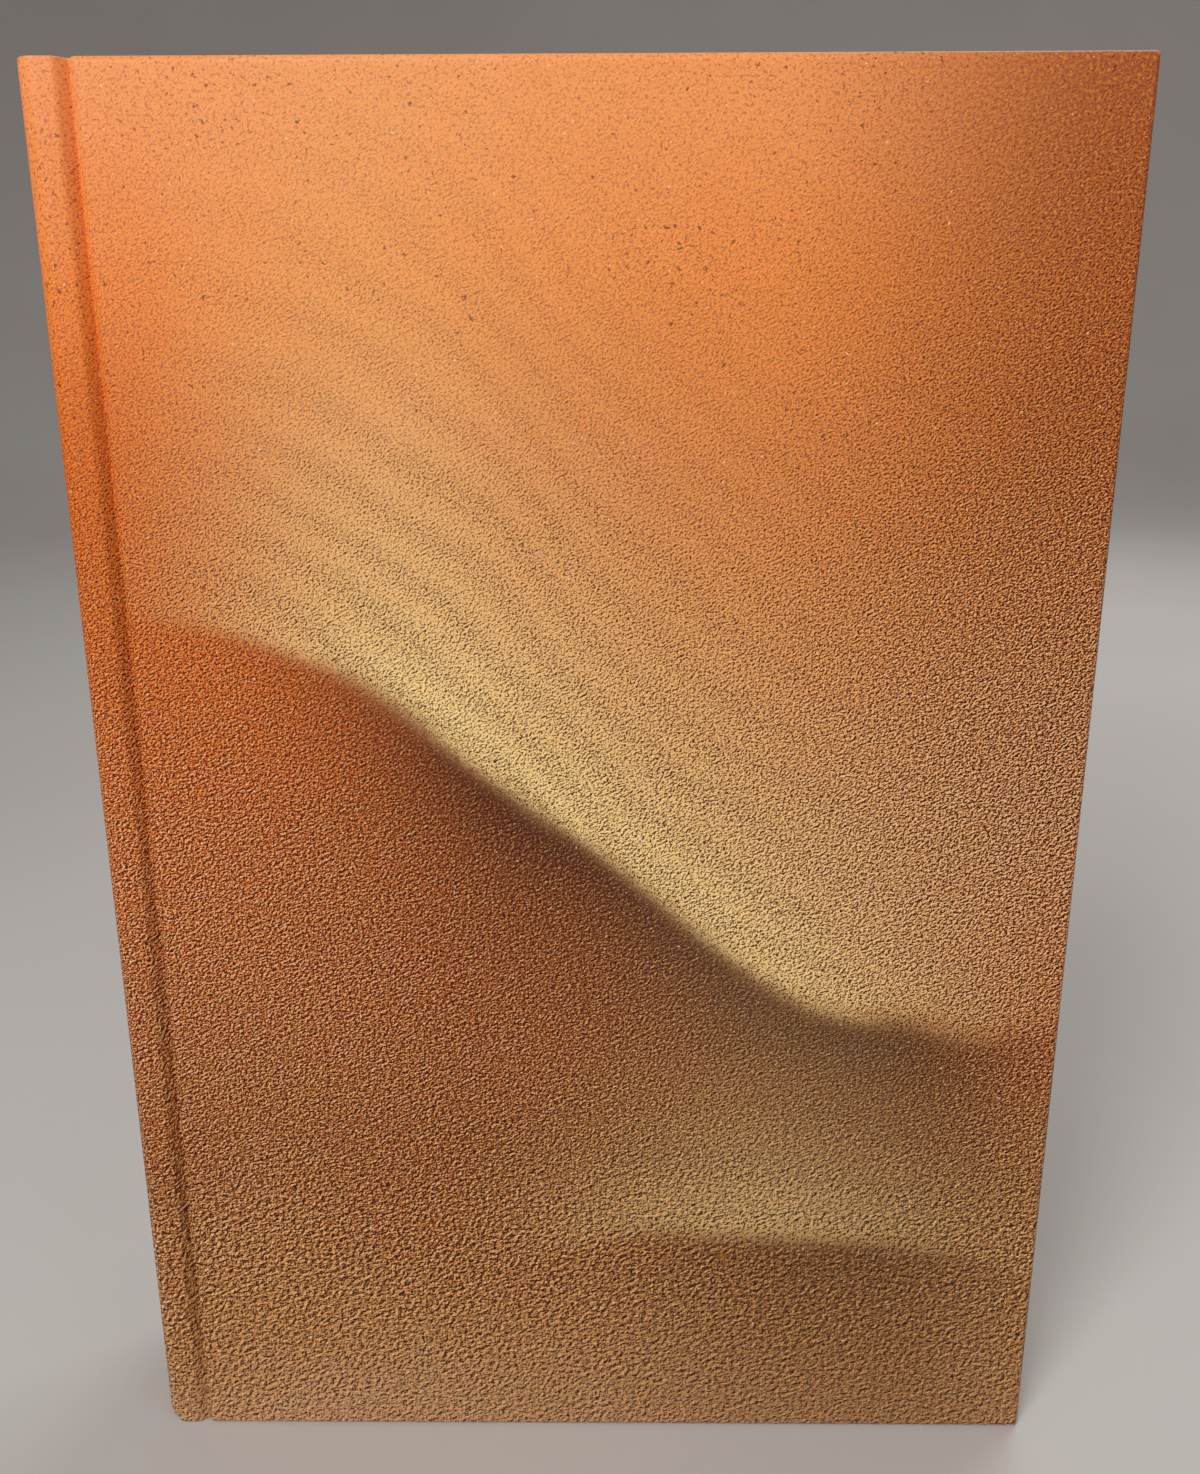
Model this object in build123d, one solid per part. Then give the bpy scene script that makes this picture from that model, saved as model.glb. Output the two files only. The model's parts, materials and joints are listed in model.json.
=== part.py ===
from build123d import *
import os
from math import asin, degrees, hypot, sqrt

# A case-bound book, closed and standing on its tail. X runs from the spine to the fore edge, Y from the
# front cover to the back cover and Z from the tail to the head. Lengths are in millimetres.

# The leaves
leaf_width = 154.0
leaf_height = 228.6
block_thickness = 26.0
endpaper_thickness = 0.2

# The case
board_thickness = 2.5
strip_thickness = 1.2
sheet_thickness = 0.25
paste_gap = 0.05
square = 3.2
fore_square = 3.9
edge_round = 0.9
turn_in = 15.0
pastedown_margin = 3.0
closing_gap = 0.1

# The joint groove, seen from its bottom: a gentle slope up to the spine's ridge, a wall up to the board
groove_depth = 1.8
groove_round = 0.6
slope_run = 2.25
wall_gap = 0.35
hinge_gap = 0.1
hinge_margin = 1.0

# The rounded spine
ridge_reach = 6.7
ridge_drop = 0.3
ridge_round = 3.0
crest_round = 1.5
spine_rise = 4.0
cap_round = 1.4
cap_limit_share = 0.95
hollow_gap = 0.5
shoulder_clearance = 0.2
shoulder_round = 0.5

# The linings and bands on the back of the leaves
mull_thickness = 0.3
mull_gap = 1.0
liner_thickness = 0.25
band_bead = 2.2
band_tape = 12.0
band_lift = 0.05

overrun = 5.0

# Stacks through the thickness, from the middle of the leaves to the outside of a cover
cover_thickness = sheet_thickness + board_thickness + sheet_thickness + endpaper_thickness
leaf_face = block_thickness / 2
flyleaf_face = leaf_face + endpaper_thickness
pastedown_face = flyleaf_face + closing_gap
outer_face = pastedown_face + cover_thickness
board_outer = outer_face - sheet_thickness
board_inner = board_outer - board_thickness
turn_in_face = board_inner - sheet_thickness
case_height = leaf_height + 2 * square
leaf_head = square + leaf_height

# The joint and the spine's arc. X counts from the hinge line here, and place centres the book at the end.
crest_y = outer_face - ridge_drop
groove_y = outer_face - groove_depth
slope_height = groove_depth - ridge_drop
slope_rate = slope_height / slope_run
slope_length_rate = hypot(slope_run, slope_height) / slope_run
slope_foot = -groove_round / 2
spine_radius = (crest_y**2 + spine_rise**2) / (2 * spine_rise)
spine_apex = -ridge_reach - spine_rise
spine_centre = spine_apex + spine_radius

# How far the pieces inside the case lie under its skin, at the shoulder and at the back
case_back = sheet_thickness + paste_gap + strip_thickness + paste_gap + sheet_thickness
liner_back = case_back + hollow_gap
mull_back = liner_back + liner_thickness
leaf_back = mull_back + mull_thickness
mull_skin = sheet_thickness + shoulder_clearance
flyleaf_skin = mull_skin + mull_thickness
leaf_skin = flyleaf_skin + endpaper_thickness
leaf_radius = spine_radius - leaf_back

# The fore edge: the spine's arc moved by one leaf
fore_centre = spine_centre + leaf_width
fore_corner = fore_centre - sqrt(leaf_radius**2 - leaf_face**2)
case_right = fore_corner + fore_square
board_left = wall_gap + sheet_thickness
board_right = case_right - sheet_thickness
place = Pos(-(case_right + spine_apex) / 2, 0, 0)


def slab(low, high):
    """A box between two opposite corners."""
    size = Vector(high) - Vector(low)
    return Pos(*low) * Box(size.X, size.Y, size.Z, align=(Align.MIN, Align.MIN, Align.MIN))


def prism(face, low, high):
    """A face of the XY plane raised between two heights."""
    return Pos(0, 0, low) * extrude(face, high - low)


def corners(face, x, y):
    """The two vertices of a face at x and plus or minus y."""
    near = hinge_gap / overrun
    return face.vertices().filter_by(lambda v: abs(v.X - x) < near and abs(abs(v.Y) - y) < near)


def spine_section(skin, back, side, right, tip_round):
    """The book's section round its spine, inset by skin at the shoulders and by back at the arc.

    side is half its thickness beyond the shoulders, and right is where it ends.
    """
    slope_y = groove_y - skin * slope_length_rate
    crest = crest_y - skin
    radius = spine_radius - back
    foot_x = slope_foot + (slope_y - side) / slope_rate
    top_x = slope_foot + (slope_y - crest) / slope_rate
    tip_x = spine_centre - sqrt(radius**2 - crest**2)
    flank = Polyline((right, side), (foot_x, side), (top_x, crest), (tip_x, crest))
    arc = ThreePointArc((tip_x, crest), (spine_centre - radius, 0), (tip_x, -crest))
    end = Line((right, side), (right, -side))
    face = make_face([*flank.edges(), arc, *mirror(flank, about=Plane.XZ).edges(), end])
    face = fillet(corners(face, tip_x, crest), tip_round)
    if crest_round > skin:
        face = fillet(corners(face, top_x, crest), crest_round - skin)
    return fillet(corners(face, foot_x, side), groove_round + skin)


def case_section(inset, right):
    return spine_section(inset, inset, groove_y - inset, right, ridge_round - inset)


def leaf_section(skin, back, side, right):
    return spine_section(skin, back, side, right, shoulder_round + leaf_skin - skin)


def rounded_case(inset):
    """The spine end of the case as a solid whose head and tail edges are rounded."""
    solid = prism(case_section(inset, overrun), inset, case_height - inset)
    level = solid.edges().filter_by(Axis.Z, reverse=True)
    ends = level.filter_by(lambda e: e.center().X < overrun - hinge_gap)
    return fillet(ends, min(cap_round, cap_limit_share * crest_round) - inset)


def back_arc(back, thickness, half_width, low, high):
    """A curved strip that follows the spine, back under its skin, between two heights."""
    ring = Pos(spine_centre, 0) * (Circle(spine_radius - back) - Circle(spine_radius - back - thickness))
    window = Pos(spine_apex, 0) * Rectangle(spine_radius, 2 * half_width, align=(Align.MIN, Align.CENTER))
    return prism(ring & window, low, high)


def board_form(grow):
    """A cover board with rounded outer edges, grown all round."""
    low = (board_left - grow, -board_outer - grow, sheet_thickness - grow)
    high = (board_right + grow, -board_inner + grow, case_height - sheet_thickness + grow)
    board = slab(low, high)
    return fillet(board.faces().sort_by(Axis.Y)[0].edges(), edge_round + grow)


def text_block():
    """The leaves: backed shoulders, a round spine and a hollow fore edge."""
    section = leaf_section(leaf_skin, leaf_back, leaf_face, fore_centre)
    return prism(section - Pos(fore_centre, 0) * Circle(leaf_radius), square, leaf_head)


def front_flyleaf():
    """The free half of the front endpaper, over the first leaf and its shoulder."""
    sheet = leaf_section(flyleaf_skin, leaf_back, flyleaf_face, fore_centre)
    sheet -= leaf_section(leaf_skin, leaf_back, leaf_face, fore_centre + overrun)
    sheet -= Pos(fore_centre, 0) * Circle(leaf_radius)
    leaves = prism(sheet, square, leaf_head).solids().sort_by(Axis.Y)
    return leaves[0]


def spine_mull():
    """Gauze over the back of the leaves and down both shoulders to the hinge lines."""
    gauze = leaf_section(mull_skin, mull_back, flyleaf_face + mull_thickness, overrun)
    gauze -= leaf_section(flyleaf_skin, leaf_back, flyleaf_face, 2 * overrun)
    gauze &= Pos(-hinge_gap, 0) * Rectangle(leaf_width, 2 * outer_face, align=(Align.MAX, Align.CENTER))
    end = max(turn_in, square + band_tape) + mull_gap
    return prism(gauze, end, case_height - end)


def spine_liner():
    return back_arc(liner_back, liner_thickness, leaf_face, square, leaf_head)


def head_band():
    """A cloth band: a round bead on the leaves' edge and a tape glued down their back."""
    bead_radius = band_bead / 2
    bead_z = leaf_head + band_lift + bead_radius
    tape_left = spine_apex + mull_back
    bead = Pos(tape_left + bead_radius, bead_z) * Circle(bead_radius)
    tape_foot = Pos(tape_left, leaf_head - band_tape)
    tape_height = bead_z - leaf_head + band_tape
    tape = tape_foot * Rectangle(mull_thickness, tape_height, align=(Align.MIN, Align.MIN))
    half_turn = degrees(asin(leaf_face / (spine_radius - mull_back)))
    axis = Axis((spine_centre, 0, 0), (0, 0, 1))
    return revolve(Plane.XZ * (bead + tape), axis, 2 * half_turn).rotate(axis, -half_turn)


def spine_strip():
    """The card in the spine, between the ridges."""
    skin = sheet_thickness + paste_gap
    strip = back_arc(skin, strip_thickness, crest_y - ridge_round, 0, case_height)
    return strip & rounded_case(skin)


def spine_cover_sheet():
    """Cover paper round the ridges and the spine, turned in over the strip at the head and the tail."""
    lining_skin = 2 * sheet_thickness
    pocket = spine_section(
        sheet_thickness, case_back - sheet_thickness, groove_y - sheet_thickness, overrun, shoulder_round
    )
    hollow = spine_section(lining_skin, case_back, groove_y - lining_skin, 2 * overrun, shoulder_round)
    fold = prism(pocket - hollow, sheet_thickness, case_height - sheet_thickness)
    fold -= prism(pocket, turn_in, case_height - turn_in)
    sheet = rounded_case(0) - rounded_case(sheet_thickness) - prism(hollow, 0, case_height)
    sheet += fold & rounded_case(sheet_thickness)
    beyond = slab((-hinge_gap / 2, -outer_face, 0), (2 * overrun, outer_face, case_height))
    return sheet - beyond


def front_cover_sheet():
    """Cover paper over the front board: its face, three turned-in edges and its side of the groove."""
    lip_face = groove_y - sheet_thickness
    sheet = board_form(sheet_thickness) - board_form(0)
    sheet -= slab(
        (-overrun, -board_inner, turn_in),
        (board_right - turn_in, -turn_in_face, case_height - turn_in),
    )
    sheet -= slab((-overrun, -lip_face, 0), (board_left, 0, case_height))
    return sheet + slab((hinge_gap / 2, -groove_y, 0), (board_left, -lip_face, case_height))


def front_pastedown():
    """The glued half of the front endpaper, flat over the turn-ins and filled out between them."""
    left = board_left + hinge_margin
    paper = slab(
        (left, -turn_in_face, pastedown_margin),
        (case_right - pastedown_margin, -pastedown_face, case_height - pastedown_margin),
    )
    fill = slab(
        (left, -board_inner, turn_in),
        (board_right - turn_in, -turn_in_face, case_height - turn_in),
    )
    return paper + fill


def opposite(part):
    """The same piece on the back cover."""
    return mirror(part, about=Plane.XZ)


def at_tail(part):
    """The same piece at the other end of the leaves."""
    return mirror(part, about=Plane.XY.offset(case_height / 2))


nodes = {
    "text_block": text_block(),
    "front_flyleaf": front_flyleaf(),
    "back_flyleaf": opposite(front_flyleaf()),
    "spine_mull": spine_mull(),
    "spine_liner": spine_liner(),
    "head_band": head_band(),
    "tail_band": at_tail(head_band()),
    "spine_strip": spine_strip(),
    "spine_cover_sheet": spine_cover_sheet(),
    "front_board": board_form(0),
    "front_cover_sheet": front_cover_sheet(),
    "front_pastedown": front_pastedown(),
    "back_board": opposite(board_form(0)),
    "back_cover_sheet": opposite(front_cover_sheet()),
    "back_pastedown": opposite(front_pastedown()),
}

os.makedirs("parts", exist_ok=True)
for name, part in nodes.items():
    export_step(place * part, f"parts/{name}.step")

print("case", case_right - spine_apex, 2 * outer_face, case_height)
print("hinge line", place.position.X, outer_face)
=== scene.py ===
import json
import math

import bmesh
import bpy
import numpy as np
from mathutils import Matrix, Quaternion, Vector

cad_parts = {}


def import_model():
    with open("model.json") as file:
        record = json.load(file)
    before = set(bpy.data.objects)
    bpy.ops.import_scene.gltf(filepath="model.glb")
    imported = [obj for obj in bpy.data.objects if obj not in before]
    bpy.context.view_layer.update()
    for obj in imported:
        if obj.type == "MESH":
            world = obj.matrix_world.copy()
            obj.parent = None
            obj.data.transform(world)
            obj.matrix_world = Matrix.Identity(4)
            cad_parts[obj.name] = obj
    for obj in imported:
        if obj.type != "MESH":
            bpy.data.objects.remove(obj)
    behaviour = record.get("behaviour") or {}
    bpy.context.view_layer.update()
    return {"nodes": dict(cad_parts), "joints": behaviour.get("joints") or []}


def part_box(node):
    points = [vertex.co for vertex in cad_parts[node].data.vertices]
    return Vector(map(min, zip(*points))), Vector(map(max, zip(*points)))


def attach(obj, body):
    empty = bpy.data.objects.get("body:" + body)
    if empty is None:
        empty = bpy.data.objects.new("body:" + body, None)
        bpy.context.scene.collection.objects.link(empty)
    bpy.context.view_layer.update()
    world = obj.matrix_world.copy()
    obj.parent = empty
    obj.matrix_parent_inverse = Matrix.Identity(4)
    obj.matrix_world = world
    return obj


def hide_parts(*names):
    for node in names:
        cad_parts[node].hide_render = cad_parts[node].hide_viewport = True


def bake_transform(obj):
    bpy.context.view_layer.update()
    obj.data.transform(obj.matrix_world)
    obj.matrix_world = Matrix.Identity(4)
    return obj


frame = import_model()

# Places and sizes of the frame, in metres. X counts from the hinge line in the sections below.
hinges = {joint["name"]: joint for joint in frame["joints"]}
hinge_x = hinges["front_cover_hinge"]["pos_m"][0]
outer_face = abs(hinges["front_cover_hinge"]["pos_m"][1])
case_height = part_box("front_cover_sheet")[1].z
case_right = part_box("front_cover_sheet")[1].x - hinge_x
spine_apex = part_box("spine_cover_sheet")[0].x - hinge_x
leaf_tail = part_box("text_block")[0].z
leaf_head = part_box("text_block")[1].z
cover_and_flyleaf = 0.0035
leaf_face = outer_face - cover_and_flyleaf

# Millimetres in a metre, two tolerances and the fewest cuts of a rounded corner
millimetres = 1000.0
hairline = 1e-9
touching = 1e-7
fewest_cuts = 4

# The cover paper and what it goes round
paper = 0.00025
board_depth = 0.0025
board_clear = 0.00002
hollow_step = 0.0002
hollow_longest = 0.02
hollow_shares = (0, 0.1, 0.3, 0.6, 1.0)
hollow_rows = 9
turn_in = 0.015
turn_in_fade = 0.0004
face_round = 0.00115
inner_round = 0.0004
inner_step = 0.0001
corner_round = 0.0006
cover_inner = 2 * paper + board_depth

# The joint groove, its wall and the part of the cover paper that bends
groove_depth = 0.0018
groove_round = 0.0006
groove_tail_share = 0.6
groove_tail_reach = 0.022
slope_foot = -groove_round / 2
wall_x = 0.00035
wall_round = 0.0003
wall_corner_round = 0.0006
wall_corner_fade = 0.0012
lining_x = 0.00045
lining_round = 0.0001

# The ridge of the spine and the seam on it
ridge_drop = 0.0003
ridge_round = 0.003
crest_round = 0.0015
crest_run = 0.0016
seam_x = -0.004
seam_gap = 0.00001
round_step = 0.00015
longest_step = 0.0025

# The folds of the cover paper at the head and the tail
fold_round = 0.0003
fold_fade = 0.006
fold_dip_tail = 0.00012
fold_dip_head = 0.0001
fold_dip_x = -0.0006
fold_dip_width = 0.0013
cap_clear = 0.0001
cap_tail_share = 0.93
cap_head_share = 0.8
cap_rise_tail_share = 1.55
cap_rise_head_share = 1.0
cap_tuck = 0.0013
cap_tuck_height = 0.0026
cap_tuck_lean = 0.6
spine_paper = 0.96 * paper
tightest_round = 0.00001
hem_rows = 5
cap_rows = 10
tuck_rows = 14
spine_rows = 40

# The rounded spine
crest_y = outer_face - ridge_drop
spine_rise = 0.004
spine_radius = (crest_y**2 + spine_rise**2) / (2 * spine_rise)
spine_centre = spine_apex + spine_radius
strip_half = crest_y - ridge_round
strip_depth = 0.0018
strip_fade = 0.0012
ridge_depth = 2 * paper
crest_points = 4
ridge_points = 17
back_points = 25

# The leaves and their shoulders
leaf_width = 0.154
leaf_back = 0.00285
leaf_radius = spine_radius - leaf_back
leaf_seed = 11
leaf_layers = 116
fore_centre = spine_centre + leaf_width
shoulder_skin = 0.00095
shoulder_crest = crest_y - shoulder_skin
shoulder_foot = 0.00053
shoulder_top = -0.00284
shoulder_rounds = (0.00155, 0.00055)
shoulder_step = 0.0002
shoulder_flare = 2.6
shoulder_lead = 0.0008
shoulder_trail = 0.003
shoulder_columns = 18
flat_start = 0.004
flat_columns = 26
unbent_share = 0.08
leaf_rows = 24

# The sewn bands
band_radius = 0.0011
band_back = 0.00255
band_tape = 0.012
band_lift = 0.00005
tape_thickness = 0.0003
tape_lap = 0.4 * band_radius
thread_pitch = 0.00042
thread_lean = 0.00018
rib_depth = 0.1
bead_taper = 0.0008
bead_least = 0.02
bead_columns = 260
bead_rows = 25
tape_columns = 40
tape_rows = 12

# The pasted endpapers and the strips that cross the joints
endpaper_thickness = 0.0002
paste_clear = 0.00005
root_x = 0.00005
root_run = 0.0007
root_lift = 0.00035
root_round = 0.0008
root_step = 0.00006
bend_limit = 0.002
strip_end = 0.0022
thin_sheet = 0.00008
sheet_gain = 0.00006
gain_x = 0.0016
gain_run = 0.0006
end_inset = 0.0014
inset_x = 0.0004
inset_run = 0.0012
inset_power = 8
strip_columns = 34
paste_columns = 50
paste_rows = 60

# The stage, the camera and the light
stage_radius = 2.2
stage_sweep = 0.8
stage_height = 1.5
stage_steps = 20
stage_rings = (0.001, 0.3, 0.7)
camera_place = (0.00546, -0.2203, 0.1957)
camera_forward = (-0.00968, 0.95922, -0.28251)
camera_roll = math.radians(-0.17)
camera_lens = 32.4
camera_sensor = 36.0
camera_near = 0.01
lamp_aim = (0.0, 0.0, 0.12)
sky_color = (1.0, 0.985, 0.97, 1.0)
sky_strength = 0.36


def smooth(value):
    """A soft step from 0 to 1."""
    value = np.clip(value, 0.0, 1.0)
    return value * value * (3 - 2 * value)


def filleted(points, radii, step):
    """A path through points with its inner corners rounded, cut into pieces of about one step."""
    points = [np.array(p, float) for p in points]
    path = [points[0]]
    for i in range(1, len(points) - 1):
        before = points[i - 1] - points[i]
        after = points[i + 1] - points[i]
        before /= np.linalg.norm(before)
        after /= np.linalg.norm(after)
        half = math.acos(np.clip(before @ after, -1, 1)) / 2
        reach = radii[i - 1] / math.tan(half)
        middle = (before + after) / np.linalg.norm(before + after)
        centre = points[i] + middle * radii[i - 1] / math.sin(half)
        first = points[i] + before * reach - centre
        last = points[i] + after * reach - centre
        turn = math.pi - 2 * half
        count = max(fewest_cuts, int(turn * radii[i - 1] / step))
        for share in np.linspace(0, 1, count + 1):
            weight = (math.sin((1 - share) * turn), math.sin(share * turn))
            path.append(centre + (weight[0] * first + weight[1] * last) / math.sin(turn))
    path.append(points[-1])
    return np.array(path)


def lengths(path):
    """The distance along a path at each of its points."""
    steps = np.linalg.norm(np.diff(path, axis=0), axis=1)
    return np.concatenate([[0], np.cumsum(steps)])


def resampled(path, count):
    """Points at even distances along a path."""
    along = lengths(path)
    places = np.linspace(0, along[-1], count)
    return np.stack([np.interp(places, along, path[:, k]) for k in range(path.shape[1])], axis=1)


def divided(path, longest):
    """A path whose long straight pieces are cut shorter."""
    result = [path[0]]
    for a, b in zip(path[:-1], path[1:]):
        count = max(1, math.ceil(np.linalg.norm(b - a) / longest))
        result += [a + (b - a) * (k + 1) / count for k in range(count)]
    return np.array(result)


def rounding(distance, radius):
    """How far a surface has drawn back at a distance from an edge that is rounded by radius."""
    radius = np.maximum(radius, hairline)
    inside = np.clip(radius - distance, 0, radius)
    return radius - np.sqrt(radius**2 - inside**2)


def stacked(*coordinates):
    """A grid of points or of places in the print from its coordinates, each spread over the grid."""
    return np.stack(np.broadcast_arrays(*coordinates), axis=-1)


class Shell:
    """A mesh put together from grids of points, each with its own place in the flat print."""

    def __init__(self):
        self.points = []
        self.prints = []
        self.quads = []
        self.count = 0

    def grid(self, points, prints, flip=False):
        rows, columns = points.shape[:2]
        index = self.count + np.arange(rows * columns).reshape(rows, columns)
        quads = np.stack([index[:-1, :-1], index[:-1, 1:], index[1:, 1:], index[1:, :-1]], axis=-1)
        quads = quads.reshape(-1, 4)
        self.quads.append(quads[:, ::-1] if flip else quads)
        self.points.append(points.reshape(-1, 3))
        self.prints.append(np.broadcast_to(prints, (rows, columns, 2)).reshape(-1, 2))
        self.count += rows * columns

    def sheet(self, outer, inner, prints):
        """Both faces of a sheet and the four edges between them."""
        prints = np.broadcast_to(prints, (*outer.shape[:2], 2))
        self.grid(outer, prints)
        self.grid(inner, prints, flip=True)
        for k in (0, -1):
            self.grid(np.stack([outer[k], inner[k]], axis=0), np.stack([prints[k]] * 2, axis=0))
            self.grid(np.stack([outer[:, k], inner[:, k]], axis=1), np.stack([prints[:, k]] * 2, axis=1))

    def mesh(self, name, weld=2e-7):
        points = np.concatenate(self.points)
        prints = np.concatenate(self.prints)
        quads = np.concatenate(self.quads)
        mesh = bpy.data.meshes.new(name)
        mesh.from_pydata(points.tolist(), [], quads.tolist())
        layer = mesh.uv_layers.new(name="print")
        layer.data.foreach_set("uv", prints[quads.ravel()].astype(np.float32).ravel())
        work = bmesh.new()
        work.from_mesh(mesh)
        bmesh.ops.remove_doubles(work, verts=work.verts, dist=weld)
        bmesh.ops.dissolve_degenerate(work, edges=work.edges, dist=weld)
        bmesh.ops.recalc_face_normals(work, faces=work.faces)
        work.to_mesh(mesh)
        work.free()
        return mesh


def piece(name, mesh, material, sharp=35):
    """An object of the scene with soft shading, apart from its sharp edges."""
    mesh.polygons.foreach_set("use_smooth", [True] * len(mesh.polygons))
    mesh.set_sharp_from_angle(angle=math.radians(sharp))
    mesh.materials.append(material)
    thing = bpy.data.objects.new(name, mesh)
    bpy.context.scene.collection.objects.link(thing)
    return thing


def joined(outer, inner):
    """One mesh of an outer shell and of a hollow inside it."""
    work = bmesh.new()
    work.from_mesh(inner)
    bmesh.ops.reverse_faces(work, faces=work.faces)
    work.from_mesh(outer)
    work.to_mesh(outer)
    work.free()
    bpy.data.meshes.remove(inner)
    return outer


def heights(fine, coarse):
    """Levels from tail to head, close together near both ends."""
    middle = np.linspace(fine[-1], case_height - fine[-1], coarse)[1:-1]
    return np.concatenate([fine, middle, case_height - np.array(fine[::-1])])


# The levels of the covers' paper. The fine ones, in millimetres from each end, follow the folds there.
fine_levels = (
    0.0, 0.02, 0.06, 0.12, 0.2, 0.3, 0.45, 0.65, 0.9, 1.15, 1.6, 2.4, 3.6, 5.5, 8.0, 11.0, 14.8, 15.2, 20.0,
)
coarse_levels = 44
levels = heights([level / millimetres for level in fine_levels], coarse_levels)
end_distance = np.minimum(levels, case_height - levels)[:, None]
end_side = np.where(levels < case_height / 2, 1.0, -1.0)[:, None]


def placed(x, depth, z, side):
    """Points of a cover in the frame. side is minus one at the front and one at the back."""
    return stacked(hinge_x + x, side * (outer_face - depth), z)


def joint_path():
    """The cover paper's outside from the seam on the ridge, over groove and board, to the fore edge."""
    corners = [
        (seam_x + seam_gap, ridge_drop),
        (slope_foot - crest_run, ridge_drop),
        (slope_foot, groove_depth),
        (wall_x, groove_depth),
        (wall_x, 0),
        (case_right, 0),
        (case_right, face_round + inner_round),
    ]
    radii = [crest_round, groove_round, wall_round, face_round, face_round]
    return divided(filleted(corners, radii, round_step), longest_step)


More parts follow.
